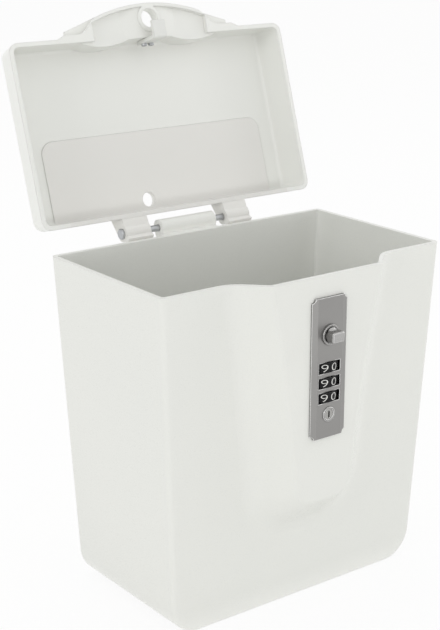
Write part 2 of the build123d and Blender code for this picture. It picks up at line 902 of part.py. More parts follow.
# Yoke on top of the rod: a bent strip with a level slot for the crank pin
crank_angle = math.radians(knob_turn / 2)
crank_x = crank_radius * math.cos(crank_angle)
crank_z = knob_height - crank_radius * math.sin(crank_angle)
slot_height = 2 * (crank_pin_radius + crank_slot_clearance)
with BuildPart() as yoke:
    with BuildSketch(Plane.YZ):
        with BuildLine():
            Polyline(
                (wheel_axis_y - rod_radius, foot_height),
                (yoke_front + yoke_thickness, foot_height),
                (yoke_front + yoke_thickness, crank_z + slot_height + yoke_head),
                (yoke_front, crank_z + slot_height + yoke_head),
                (yoke_front, foot_height + yoke_thickness),
                (wheel_axis_y - rod_radius, foot_height + yoke_thickness),
                close=True,
            )
        make_face()
    extrude(amount=yoke_half_width, both=True)
    with BuildSketch(Plane.XZ.offset(-yoke_front)):
        with Locations(((crank_x + crank_radius) / 2, crank_z)):
            SlotOverall(
                crank_radius - crank_x + slot_height + 2 * crank_slot_clearance, slot_height
            )
    extrude(amount=-yoke_thickness, mode=Mode.SUBTRACT)

# Leaf spring that clicks into the grooves of the wheels, across the open back of the case
spring_bottom = rib_heights[-1] - rib_thickness / 2
with BuildPart() as detent_spring:
    with BuildSketch(Plane.XZ.offset(-case_back)):
        with Locations((0, (case_top + spring_bottom) / 2)):
            Rectangle(2 * case_half_width, case_top - spring_bottom)
        with Locations([(0, height) for height in wheel_heights]):
            Rectangle(
                case_half_width,
                wheel_pitch - rib_thickness - 2 * spring_inset,
                mode=Mode.SUBTRACT,
            )
            Rectangle(case_half_width, spring_finger_width)
    extrude(amount=-spring_thickness)
    with BuildSketch(Plane.XZ.offset(-case_back)):
        with Locations([(0, height) for height in wheel_heights]):
            Rectangle(spring_finger_width / 2, spring_finger_width)
    extrude(amount=spring_finger_dip)

# Bush that clamps the top of the plate, its nut, and the spindle that turns in it
bush_back = panel_inner_face + bush_nut_thickness + bush_nut_gap
with BuildPart() as knob_bush:
    with BuildSketch(Plane.XZ.offset(-plate_face)):
        with Locations((0, knob_height)):
            Circle(bush_radius)
    extrude(amount=bush_flange)
    fillet(knob_bush.faces().sort_by(Axis.Y)[0].edges(), bush_flange / 3)
    with BuildSketch(Plane.XZ.offset(-plate_face + bush_flange)):
        with Locations((0, knob_height)):
            Circle(knob_base_radius + bush_mouth_gap)
    extrude(amount=-bush_mouth_depth, mode=Mode.SUBTRACT)
    with BuildSketch(Plane.XZ.offset(-plate_face)):
        with Locations((0, knob_height)):
            Circle(bush_thread_radius)
    extrude(amount=plate_face - bush_back)
    with BuildSketch(Plane.XZ.offset(-plate_face + bush_flange)):
        with Locations((0, knob_height)):
            Circle(spindle_radius + fit_clearance)
    extrude(amount=plate_face - bush_flange - bush_back, mode=Mode.SUBTRACT)


def hex_nut(height, face_y, flats, bore, thickness):
    with BuildPart() as nut:
        with BuildSketch(Plane.XZ.offset(-face_y)):
            with Locations((0, height)):
                RegularPolygon(flats / 2, 6, major_radius=False)
                Circle(bore, mode=Mode.SUBTRACT)
        extrude(amount=-thickness)
        chamfer(nut.faces().sort_by(Axis.Y)[-1].outer_wire().edges(), nut_edge)
    return nut.part


bush_nut = hex_nut(
    knob_height, panel_inner_face, bush_nut_flats, bush_thread_radius + fit_clearance, bush_nut_thickness
)

stub_length = knob_reach - (plate_face - knob_back) - knob_end_wall
with BuildPart() as spindle:
    with BuildSketch(Plane.XZ.offset(-knob_back)):
        with Locations((0, knob_height)):
            Circle(spindle_radius)
    extrude(amount=knob_back - cam_front)
    with BuildSketch(Plane.XZ.offset(-knob_back)):
        with Locations((0, knob_height)):
            Circle(stub_radius)
    extrude(amount=stub_length)
    with BuildSketch(Plane.XZ.offset(-cam_front)):
        with Locations((0, knob_height)):
            Rectangle(spindle_square, spindle_square)
    extrude(amount=-cam_thickness)
    with BuildSketch(Plane.XY.offset(knob_height)):
        with Locations((0, knob_back - stub_length / 2)):
            Circle(knob_pin_radius)
    extrude(amount=-knob_base_radius, mode=Mode.SUBTRACT)

with BuildPart() as knob:
    with BuildSketch(Plane.XZ.offset(-knob_back)):
        with Locations((0, knob_height)):
            Circle(knob_base_radius)
    extrude(amount=knob_base_length)
    with BuildSketch(Plane.XZ.offset(knob_base_length - knob_back)):
        with Locations((0, knob_height)):
            Circle(knob_base_radius)
    with BuildSketch(Plane.XZ.offset(knob_reach - knob_block_length - plate_face)):
        with Locations((0, knob_height)):
            RectangleRounded(knob_length, knob_thickness, knob_corner_radius)
    loft()
    with BuildSketch(Plane.XZ.offset(knob_reach - knob_block_length - plate_face)):
        with Locations((0, knob_height)):
            RectangleRounded(knob_length, knob_thickness, knob_corner_radius)
    extrude(amount=knob_block_length)
    chamfer(knob.faces().sort_by(Axis.Y)[0].edges(), knob_chamfer)
    with BuildSketch(Plane.XZ.offset(-knob_back)):
        with Locations((0, knob_height)):
            Circle(stub_radius + fit_clearance)
    extrude(amount=stub_length + knob_bore_play, mode=Mode.SUBTRACT)
    with BuildSketch(Plane.XY.offset(knob_height)):
        with Locations((0, knob_back - stub_length / 2)):
            Circle(knob_pin_radius + fit_clearance)
    extrude(amount=-knob_base_radius, mode=Mode.SUBTRACT)

with BuildPart() as knob_pin:
    with BuildSketch(Plane.XY.offset(knob_height - knob_bore_play)):
        with Locations((0, knob_back - stub_length / 2)):
            Circle(knob_pin_radius - fit_clearance)
    extrude(amount=knob_bore_play - knob_thickness / 2)

# Latch cam: a hub, an arm that lags and a curved finger that leads into the keeper
with BuildPart() as latch_cam:
    with BuildSketch(Plane.XZ.offset(-cam_front)):
        with Locations((0, knob_height)):
            Circle(cam_hub_radius)
        with BuildLine():
            hub = (0, knob_height)
            outer = CenterArc(hub, cam_radius + cam_finger / 2, -cam_arm_lag, finger_sweep)
            inner = CenterArc(hub, cam_radius - cam_finger / 2, -cam_arm_lag, finger_sweep)
            Line(inner @ 0, outer @ 0)
            Line(inner @ 1, outer @ 1)
        make_face()
        with Locations(Location((0, knob_height), -cam_arm_lag)):
            Rectangle(
                cam_radius, cam_arm_width, align=(Align.MIN, Align.CENTER)
            )
        with Locations((0, knob_height)):
            Rectangle(
                spindle_square + 2 * fit_clearance,
                spindle_square + 2 * fit_clearance,
                mode=Mode.SUBTRACT,
            )
    extrude(amount=-cam_thickness)
    with BuildSketch(Plane.XZ.offset(-cam_back)):
        with Locations((crank_x, crank_z)):
            Circle(crank_pin_radius)
    extrude(amount=-(yoke_thickness + 2 * yoke_gap))

# Key cylinder with its nut, plug and lever
key_front = plate_face - key_housing_proud
with BuildPart() as key_housing:
    with BuildSketch(Plane.XZ.offset(-key_front)):
        with Locations((0, key_height)):
            Circle(key_housing_radius)
    extrude(amount=-key_housing_proud)
    chamfer(key_housing.faces().sort_by(Axis.Y)[0].edges(), key_housing_proud / 2)
    with BuildSketch(Plane.XZ.offset(-key_front)):
        with Locations((0, key_height)):
            Circle(key_thread_radius)
    extrude(amount=-key_length)
    with BuildSketch(Plane.XZ.offset(-key_front)):
        with Locations((0, key_height)):
            Circle(key_plug_radius + fit_clearance)
    extrude(amount=-key_length, mode=Mode.SUBTRACT)

with BuildPart() as key_plug:
    with BuildSketch(Plane.XZ.offset(-key_front - key_plug_recess)):
        with Locations((0, key_height)):
            Circle(key_plug_radius)
    extrude(amount=-(key_length - key_plug_recess + key_plug_tail))
    with BuildSketch(Plane.XZ.offset(-key_front)):
        with Locations((0, key_height)):
            SlotOverall(keyway_height, keyway_width, rotation=90)
    extrude(amount=-keyway_depth, mode=Mode.SUBTRACT)

key_nut = hex_nut(
    key_height,
    panel_inner_face + case_wall,
    key_nut_flats,
    key_thread_radius + fit_clearance,
    key_nut_thickness,
)

key_back = key_front + key_length + key_plug_tail
with BuildPart() as key_lever:
    with BuildSketch(Plane.XZ.offset(-key_back)):
        with Locations((0, key_height)):
            Circle(key_plug_radius + key_lever_rim)
            Rectangle(key_lever_width, key_lever_reach, align=(Align.CENTER, Align.MAX))
    extrude(amount=-key_lever_thickness)

plate_screws = pan_screw(
    Plane.XZ.offset(-panel_inner_face), plate_screw_places[:1], screw_radius - screw_thread_bite, wall
)
case_screws = pan_screw(
    Plane.XZ.offset(-panel_inner_face - case_wall),
    plate_screw_places[1:],
    screw_radius - screw_thread_bite,
    wall + case_wall,
)
keeper_screws = pan_screw(
    Plane.XZ.offset(-keeper_y - keeper_leg),
    keeper_screw_places,
    keeper_screw_radius - fit_clearance,
    keeper_leg + keeper_screw_bite,
    keeper_screw_head_radius,
)


def save(part, name):
    part.label = name
    export_step(part, f"parts/{name}.step")


os.makedirs("parts", exist_ok=True)
save(body_shell.part, "body_shell")
save(hinge_pin.part, "hinge_pin")
save(inner_cover.part, "inner_cover")
save(cover_screws, "cover_screws")
save(lock_plate.part, "lock_plate")
save(plate_screws, "plate_screw")
save(case_screws, "case_screws")
save(lock_case.part, "lock_case")
save(detent_spring.part, "detent_spring")
save(lock_rod.part, "lock_rod")
save(yoke.part, "rod_yoke")
save(knob_bush.part, "knob_bush")
save(bush_nut, "bush_nut")
save(spindle.part, "spindle")
save(knob.part, "knob")
save(knob_pin.part, "knob_pin")
save(latch_cam.part, "latch_cam")
save(key_housing.part, "key_housing")
save(key_nut, "key_nut")
save(key_plug.part, "key_plug")
save(key_lever.part, "key_lever")
for index in range(wheel_count):
    save(number_wheels[index], f"number_wheel_{index + 1}")
    save(code_sleeves[index], f"code_sleeve_{index + 1}")

# The lid and the keeper on it are swung open
lid_shell.part = lid_shell.part.rotate(hinge_axis, -lid_open_angle)
keeper.part = keeper.part.rotate(hinge_axis, -lid_open_angle)
keeper_screws = keeper_screws.rotate(hinge_axis, -lid_open_angle)
save(lid_shell.part, "lid_shell")
save(keeper.part, "keeper")
save(keeper_screws, "keeper_screws")
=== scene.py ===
import json
import math

import bmesh
import bpy
from mathutils import Matrix, Vector


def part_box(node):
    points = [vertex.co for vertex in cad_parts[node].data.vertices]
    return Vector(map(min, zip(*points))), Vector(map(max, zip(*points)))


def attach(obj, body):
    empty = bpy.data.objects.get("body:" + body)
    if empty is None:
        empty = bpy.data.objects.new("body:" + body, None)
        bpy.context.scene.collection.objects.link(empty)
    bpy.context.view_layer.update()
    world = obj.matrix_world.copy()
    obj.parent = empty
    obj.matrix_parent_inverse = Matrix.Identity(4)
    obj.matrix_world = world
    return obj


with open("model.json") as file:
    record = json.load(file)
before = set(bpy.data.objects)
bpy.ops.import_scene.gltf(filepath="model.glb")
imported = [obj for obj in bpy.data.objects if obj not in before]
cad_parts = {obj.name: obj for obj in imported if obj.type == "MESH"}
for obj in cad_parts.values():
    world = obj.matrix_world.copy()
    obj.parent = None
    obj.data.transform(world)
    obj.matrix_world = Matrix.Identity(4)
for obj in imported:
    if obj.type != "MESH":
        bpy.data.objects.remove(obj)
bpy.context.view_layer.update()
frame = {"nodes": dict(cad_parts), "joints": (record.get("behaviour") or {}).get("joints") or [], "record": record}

nodes = frame["nodes"]
joints = {joint["name"]: joint for joint in frame["joints"]}
scene = bpy.context.scene
scene.view_settings.view_transform = "Standard"


# The camera stands where the photograph was taken from, left of the safe and above it.
cameraView = {
    "place": (-0.5021, -0.6375, 0.4117),  # metres
    "turn": -37.05,  # degrees from straight ahead
    "down": 17.13,  # degrees below level
    "lens": 82.54,
    "sensor": 36,
    "nearClip": 0.01,
}
camera = bpy.data.objects.new("camera", bpy.data.cameras.new("camera"))
scene.collection.objects.link(camera)
scene.camera = camera
camera.location = cameraView["place"]
camera.rotation_euler = (
    math.radians(90 - cameraView["down"]),
    0,
    math.radians(cameraView["turn"]),
)
camera.data.lens = cameraView["lens"]
camera.data.sensor_width = cameraView["sensor"]
camera.data.clip_start = cameraView["nearClip"]
print("camera ready")


def softLight(name, place, aim, size, power):
    lamp = bpy.data.lights.new(name, "AREA")
    lamp.shape = "RECTANGLE"
    lamp.size, lamp.size_y = size
    lamp.energy = power
    lampObject = bpy.data.objects.new(name, lamp)
    scene.collection.objects.link(lampObject)
    lampObject.location = place
    direction = Vector(aim) - Vector(place)
    lampObject.rotation_euler = direction.to_track_quat("-Z", "Y").to_euler()


# Place, aim and size in metres and power in watts of each lamp. The world gives the rest of
# the light.
lamps = {
    "keyLight": ((-2.0, -0.4, 0.8), (0, 0, 0.15), (0.5, 0.9), 6.5),
    "sideLight": ((1.9, -0.6, 0.7), (0, 0, 0.12), (0.5, 1.4), 5),
    "frontLight": ((0.2, -2.3, 0.18), (0, 0, 0.08), (1.6, 0.3), 5),
    "topLight": ((0.1, 0.6, 2.1), (0, 0, 0.1), (1.0, 0.6), 6),
}
for lampName, lampValues in lamps.items():
    softLight(lampName, *lampValues)

studio = {
    "white": (1, 1, 1, 1),
    "worldStrength": 0.77,  # of the light that falls on the safe
    "background": 1.0,  # of what the camera and reflections see
    "floorColour": (0.94, 0.94, 0.93, 1),
    "floorRoughness": 0.9,
    "floorGlow": 0.90,  # share of plain white in the floor that the camera and reflections see
    "floorHalf": 6.0,  # metres from the middle to an edge
}


def seenDirectly(tree):
    # One where the camera, a reflection or a clear pane looks at this, and
    # nought for the light it gives.
    lightPath = tree.nodes.new("ShaderNodeLightPath")
    first = tree.nodes.new("ShaderNodeMath")
    first.operation = "MAXIMUM"
    second = tree.nodes.new("ShaderNodeMath")
    second.operation = "MAXIMUM"
    tree.links.new(lightPath.outputs["Is Camera Ray"], first.inputs[0])
    tree.links.new(lightPath.outputs["Is Glossy Ray"], first.inputs[1])
    tree.links.new(first.outputs[0], second.inputs[0])
    tree.links.new(lightPath.outputs["Is Transmission Ray"], second.inputs[1])
    return second.outputs[0]


world = bpy.data.worlds.new("studioWorld")
scene.world = world
world.use_nodes = True
worldTree = world.node_tree
worldLight = worldTree.nodes["Background"]
worldLight.inputs["Color"].default_value = studio["white"]
worldLight.inputs["Strength"].default_value = studio["worldStrength"]
worldWhite = worldTree.nodes.new("ShaderNodeBackground")
worldWhite.inputs["Color"].default_value = studio["white"]
worldWhite.inputs["Strength"].default_value = studio["background"]
worldMix = worldTree.nodes.new("ShaderNodeMixShader")
worldTree.links.new(seenDirectly(worldTree), worldMix.inputs["Fac"])
worldTree.links.new(worldLight.outputs["Background"], worldMix.inputs[1])
worldTree.links.new(worldWhite.outputs["Background"], worldMix.inputs[2])
worldEnd = worldTree.nodes["World Output"]
worldTree.links.new(worldMix.outputs["Shader"], worldEnd.inputs["Surface"])


def newMaterial(name):
    material = bpy.data.materials.new(name)
    material.use_nodes = True
    return material, material.node_tree, material.node_tree.nodes["Principled BSDF"]


def meshObject(name, mesh, material):
    piece = bpy.data.objects.new(name, mesh)
    scene.collection.objects.link(piece)
    mesh.materials.clear()
    mesh.materials.append(material)
    return piece


floorMaterial, floorTree, floorShader = newMaterial("floorPaper")
floorShader.inputs["Base Color"].default_value = studio["floorColour"]
floorShader.inputs["Roughness"].default_value = studio["floorRoughness"]
floorGlow = floorTree.nodes.new("ShaderNodeEmission")
floorGlow.inputs["Strength"].default_value = studio["background"]
floorShare = floorTree.nodes.new("ShaderNodeMath")
floorShare.operation = "MULTIPLY"
floorShare.inputs[1].default_value = studio["floorGlow"]
floorMix = floorTree.nodes.new("ShaderNodeMixShader")
floorTree.links.new(seenDirectly(floorTree), floorShare.inputs[0])
floorTree.links.new(floorShare.outputs[0], floorMix.inputs["Fac"])
floorTree.links.new(floorShader.outputs["BSDF"], floorMix.inputs[1])
floorTree.links.new(floorGlow.outputs["Emission"], floorMix.inputs[2])
floorEnd = floorTree.nodes["Material Output"]
floorTree.links.new(floorMix.outputs["Shader"], floorEnd.inputs["Surface"])
floorMesh = bpy.data.meshes.new("floor")
floorShape = bmesh.new()
bmesh.ops.create_grid(floorShape, x_segments=1, y_segments=1, size=studio["floorHalf"])
floorShape.to_mesh(floorMesh)
floorShape.free()
meshObject("floor", floorMesh, floorMaterial)
print("floor and lights ready")


def makeGroup(name, inputs, outputs):
    # A shader node group, from its inputs' usual values and its outputs' kinds.
    group = bpy.data.node_groups.new(name, "ShaderNodeTree")
    sockets = group.interface
    for socketName, value in inputs.items():
        socket = sockets.new_socket(name=socketName, in_out="INPUT", socket_type="NodeSocketFloat")
        socket.default_value = value
    for socketName, socketType in outputs.items():
        sockets.new_socket(name=socketName, in_out="OUTPUT", socket_type=socketType)
    return group, group.nodes.new("NodeGroupInput"), group.nodes.new("NodeGroupOutput")


def noiseIn(tree, coordinates, detail, roughness):
    noise = tree.nodes.new("ShaderNodeTexNoise")
    noise.inputs["Detail"].default_value = detail
    noise.inputs["Roughness"].default_value = roughness
    tree.links.new(coordinates, noise.inputs["Vector"])
    return noise


def spread(tree, value, low, high):
    # Stretches low..high of a value to nought..one.
    ramp = tree.nodes.new("ShaderNodeMapRange")
    ramp.inputs["From Min"].default_value = low
    ramp.inputs["From Max"].default_value = high
    tree.links.new(value, ramp.inputs["Value"])
    return ramp.outputs["Result"]


# Fine grain and broad patches of moulded or cast surfaces, sizes given as noise scales per metre.
surfaceNoise = {
    "grainDetail": 2,
    "grainRoughness": 0.55,
    "patchDetail": 3,
    "patchRoughness": 0.5,
    "patchRange": (0.35, 0.65),
}
surfaceGroup, groupStart, groupEnd = makeGroup(
    "surfaceGrain",
    {"Grain Scale": 2500, "Patch Scale": 18},
    {"Grain": "NodeSocketFloat", "Patches": "NodeSocketFloat"},
)
place = surfaceGroup.nodes.new("ShaderNodeTexCoord")
grain = noiseIn(
    surfaceGroup,
    place.outputs["Object"],
    surfaceNoise["grainDetail"],
    surfaceNoise["grainRoughness"],
)
patches = noiseIn(
    surfaceGroup,
    place.outputs["Object"],
    surfaceNoise["patchDetail"],
    surfaceNoise["patchRoughness"],
)
surfaceGroup.links.new(groupStart.outputs["Grain Scale"], grain.inputs["Scale"])
surfaceGroup.links.new(groupStart.outputs["Patch Scale"], patches.inputs["Scale"])
surfaceGroup.links.new(grain.outputs["Fac"], groupEnd.inputs["Grain"])
patchMask = spread(surfaceGroup, patches.outputs["Fac"], *surfaceNoise["patchRange"])
surfaceGroup.links.new(patchMask, groupEnd.inputs["Patches"])

# Rounds off sharp edges in the shading and marks them, for a painted highlight along them.
edgeFinder = {"samples": 6, "range": (0.995, 0.90)}
edgeGroup, groupStart, groupEnd = makeGroup(
    "softEdges",
    {"Radius": 0.0005},
    {"Normal": "NodeSocketVector", "Edge": "NodeSocketFloat"},
)
rounded = edgeGroup.nodes.new("ShaderNodeBevel")
rounded.samples = edgeFinder["samples"]
shape = edgeGroup.nodes.new("ShaderNodeNewGeometry")
likeness = edgeGroup.nodes.new("ShaderNodeVectorMath")
likeness.operation = "DOT_PRODUCT"
edgeGroup.links.new(groupStart.outputs["Radius"], rounded.inputs["Radius"])
edgeGroup.links.new(rounded.outputs["Normal"], likeness.inputs[0])
edgeGroup.links.new(shape.outputs["Normal"], likeness.inputs[1])
edgeGroup.links.new(rounded.outputs["Normal"], groupEnd.inputs["Normal"])
edgeMask = spread(edgeGroup, likeness.outputs["Value"], *edgeFinder["range"])
edgeGroup.links.new(edgeMask, groupEnd.inputs["Edge"])

# Marks hollows and joints by how enclosed they are, for painted shade in them; in the white shell a painted glow
# of bounced light goes there instead.
hollowFinder = {"samples": 8, "range": (0.95, 0.25)}
hollowGroup, groupStart, groupEnd = makeGroup(
    "hollows", {"Reach": 0.01}, {"Hollow": "NodeSocketFloat"}
)
openness = hollowGroup.nodes.new("ShaderNodeAmbientOcclusion")
openness.samples = hollowFinder["samples"]
hollowGroup.links.new(groupStart.outputs["Reach"], openness.inputs["Distance"])
hollowMask = spread(hollowGroup, openness.outputs["AO"], *hollowFinder["range"])
hollowGroup.links.new(hollowMask, groupEnd.inputs["Hollow"])

# Long fine lines along Z, as brushing leaves them; Stretch is their width against their length.
brushNoise = {"detail": 3, "roughness": 0.6}
brushGroup, groupStart, groupEnd = makeGroup(
    "brushedLines",
    {"Line Scale": 3000, "Stretch": 0.02},
    {"Lines": "NodeSocketFloat"},
)
place = brushGroup.nodes.new("ShaderNodeTexCoord")
squeeze = brushGroup.nodes.new("ShaderNodeCombineXYZ")
squeeze.inputs["X"].default_value = 1
squeeze.inputs["Y"].default_value = 1
stretched = brushGroup.nodes.new("ShaderNodeVectorMath")
stretched.operation = "MULTIPLY"
lines = noiseIn(
    brushGroup,
    stretched.outputs["Vector"],
    brushNoise["detail"],
    brushNoise["roughness"],
)
brushGroup.links.new(groupStart.outputs["Stretch"], squeeze.inputs["Z"])
brushGroup.links.new(place.outputs["Object"], stretched.inputs[0])
brushGroup.links.new(squeeze.outputs["Vector"], stretched.inputs[1])
brushGroup.links.new(groupStart.outputs["Line Scale"], lines.inputs["Scale"])
brushGroup.links.new(lines.outputs["Fac"], groupEnd.inputs["Lines"])


# Marks the panel in the rear half of the lid's inside, for a darker painted shade on it, measured in metres from
# the hinge.
rearPanel = {
    "half": 0.081,  # half its width across the lid
    "length": 0.0609,  # how far it reaches along the open lid
    "corner": 0.008,  # radius of its corners
    "blur": 0.0004,  # how far its outline fades
    "roof": 0.0172,  # how far out the mark reaches: past the roof's inner face, short of its outer
}
hingePlace = Vector(joints["lid_hinge"]["pos_m"])
openAngle = math.radians(joints["lid_hinge"]["range_deg"][1])
lidUp = Vector((0, -math.cos(openAngle), math.sin(openAngle)))
lidOut = Vector((0, math.sin(openAngle), math.cos(openAngle)))
panelGroup, groupStart, groupEnd = makeGroup("rearPanel", {}, {"Panel": "NodeSocketFloat"})
place = panelGroup.nodes.new("ShaderNodeTexCoord")
fromHinge = panelGroup.nodes.new("ShaderNodeVectorMath")
fromHinge.operation = "SUBTRACT"
fromHinge.inputs[1].default_value = hingePlace
along = panelGroup.nodes.new("ShaderNodeVectorMath")
along.operation = "DOT_PRODUCT"
along.inputs[1].default_value = lidUp
outward = panelGroup.nodes.new("ShaderNodeVectorMath")
outward.operation = "DOT_PRODUCT"
outward.inputs[1].default_value = lidOut
across = panelGroup.nodes.new("ShaderNodeSeparateXYZ")
panelGroup.links.new(place.outputs["Object"], fromHinge.inputs[0])
panelGroup.links.new(fromHinge.outputs["Vector"], along.inputs[0])
panelGroup.links.new(fromHinge.outputs["Vector"], outward.inputs[0])
panelGroup.links.new(place.outputs["Object"], across.inputs[0])

# The distance past the middles of the corners, which is the corner's radius all along the outline.
flat = panelGroup.nodes.new("ShaderNodeCombineXYZ")
mirrored = panelGroup.nodes.new("ShaderNodeVectorMath")
mirrored.operation = "ABSOLUTE"
past = panelGroup.nodes.new("ShaderNodeVectorMath")
past.operation = "SUBTRACT"
past.inputs[1].default_value = (
    rearPanel["half"] - rearPanel["corner"],
    rearPanel["length"] - rearPanel["corner"],
    0,
)
outside = panelGroup.nodes.new("ShaderNodeVectorMath")
outside.operation = "MAXIMUM"
outside.inputs[1].default_value = (0, 0, 0)
reach = panelGroup.nodes.new("ShaderNodeVectorMath")
reach.operation = "LENGTH"
panelGroup.links.new(across.outputs["X"], flat.inputs["X"])
panelGroup.links.new(along.outputs["Value"], flat.inputs["Y"])
panelGroup.links.new(flat.outputs["Vector"], mirrored.inputs[0])
panelGroup.links.new(mirrored.outputs["Vector"], past.inputs[0])
panelGroup.links.new(past.outputs["Vector"], outside.inputs[0])
panelGroup.links.new(outside.outputs["Vector"], reach.inputs[0])

panelEdge = spread(
    panelGroup,
    reach.outputs["Value"],
    rearPanel["corner"] + rearPanel["blur"],
    rearPanel["corner"] - rearPanel["blur"],
)
roofSide = spread(
    panelGroup,
    outward.outputs["Value"],
    rearPanel["roof"] + rearPanel["blur"],
    rearPanel["roof"] - rearPanel["blur"],
)
insideOnly = panelGroup.nodes.new("ShaderNodeMath")
insideOnly.operation = "MULTIPLY"
panelGroup.links.new(panelEdge, insideOnly.inputs[0])
panelGroup.links.new(roofSide, insideOnly.inputs[1])
panelGroup.links.new(insideOnly.outputs[0], groupEnd.inputs["Panel"])
print("patterns ready")


def useGroup(tree, group, values):
    # Places a group in a material with the material's own values.
    node = tree.nodes.new("ShaderNodeGroup")
    node.node_tree = group
    for socketName, value in values.items():
        node.inputs[socketName].default_value = value
    return node.outputs


def tint(tree, colour, mask, amount, other):
    # Lays another colour over a colour where a mask is high.
    share = tree.nodes.new("ShaderNodeMath")
    share.operation = "MULTIPLY"
    share.inputs[1].default_value = amount
    mix = tree.nodes.new("ShaderNodeMix")
    mix.data_type = "RGBA"
    tree.links.new(mask, share.inputs[0])
    tree.links.new(share.outputs[0], mix.inputs["Factor"])
    if isinstance(colour, tuple):
        mix.inputs["A"].default_value = (*colour, 1)
    else:
        tree.links.new(colour, mix.inputs["A"])
    mix.inputs["B"].default_value = (*other, 1)
    return mix.outputs["Result"]


def between(tree, mask, low, high):
    # A number that goes from low to high with a mask.
    ramp = tree.nodes.new("ShaderNodeMapRange")
    ramp.inputs["To Min"].default_value = low
    ramp.inputs["To Max"].default_value = high
    tree.links.new(mask, ramp.inputs["Value"])
    return ramp.outputs["Result"]


def relief(tree, height, strength, depth, normal):
    # Raises a pattern from the surface, by a depth in metres.
    bump = tree.nodes.new("ShaderNodeBump")
    bump.inputs["Strength"].default_value = strength
    bump.inputs["Distance"].default_value = depth
    tree.links.new(height, bump.inputs["Height"])
    tree.links.new(normal, bump.inputs["Normal"])
    return bump.outputs["Normal"]


def mouldedPlastic(name, look):
    material, tree, shader = newMaterial(name)
    surface = useGroup(tree, surfaceGroup, look["surface"])
    edges = useGroup(tree, edgeGroup, {"Radius": look["edgeRadius"]})
    hollow = useGroup(tree, hollowGroup, {"Reach": look["hollowReach"]})
    colour = tint(tree, look["colour"], surface["Patches"], 1, look["patchColour"])
    # On the lid, a darker painted shade over its rear panel.
    if "rearPanelShadeColour" in look:
        panel = useGroup(tree, panelGroup, {})
        colour = tint(tree, colour, panel["Panel"], 1, look["rearPanelShadeColour"])
    # Painted shade in hollows and joints, lightened instead into a painted glow of bounced light in the white
    # shell, then a painted highlight along edges.
    colour = tint(tree, colour, hollow["Hollow"], look["hollowShadeAndGlowAmount"], look["hollowShadeAndGlowColour"])
    colour = tint(tree, colour, edges["Edge"], look["edgeHighlightAmount"], look["edgeHighlightColour"])
    tree.links.new(colour, shader.inputs["Base Color"])
    tree.links.new(between(tree, surface["Grain"], *look["roughness"]), shader.inputs["Roughness"])
    normal = relief(
        tree,
        surface["Grain"],
        look["grainStrength"],
        look["grainDepth"],
        edges["Normal"],
    )
    tree.links.new(normal, shader.inputs["Normal"])
    shader.inputs["IOR"].default_value = look["ior"]
    return material


def satinMetal(name, look):
    material, tree, shader = newMaterial(name)
    surface = useGroup(tree, surfaceGroup, look["surface"])
    brushed = useGroup(tree, brushGroup, look["brush"])
    edges = useGroup(tree, edgeGroup, {"Radius": look["edgeRadius"]})
    hollow = useGroup(tree, hollowGroup, {"Reach": look["hollowReach"]})
    colour = tint(tree, look["colour"], surface["Patches"], 1, look["patchColour"])
    colour = tint(tree, colour, brushed["Lines"], look["lineAmount"], look["lineColour"])
    # Painted shade in hollows and joints, then a painted highlight along edges.
    colour = tint(tree, colour, hollow["Hollow"], look["hollowShadeAndGlowAmount"], look["hollowShadeAndGlowColour"])
    colour = tint(tree, colour, edges["Edge"], look["edgeHighlightAmount"], look["edgeHighlightColour"])
    tree.links.new(colour, shader.inputs["Base Color"])
    shader.inputs["Metallic"].default_value = 1
    tree.links.new(between(tree, brushed["Lines"], *look["roughness"]), shader.inputs["Roughness"])
    normal = relief(
        tree,
        brushed["Lines"],
        look["lineStrength"],
        look["lineDepth"],
        edges["Normal"],
    )
    tree.links.new(normal, shader.inputs["Normal"])
    return material
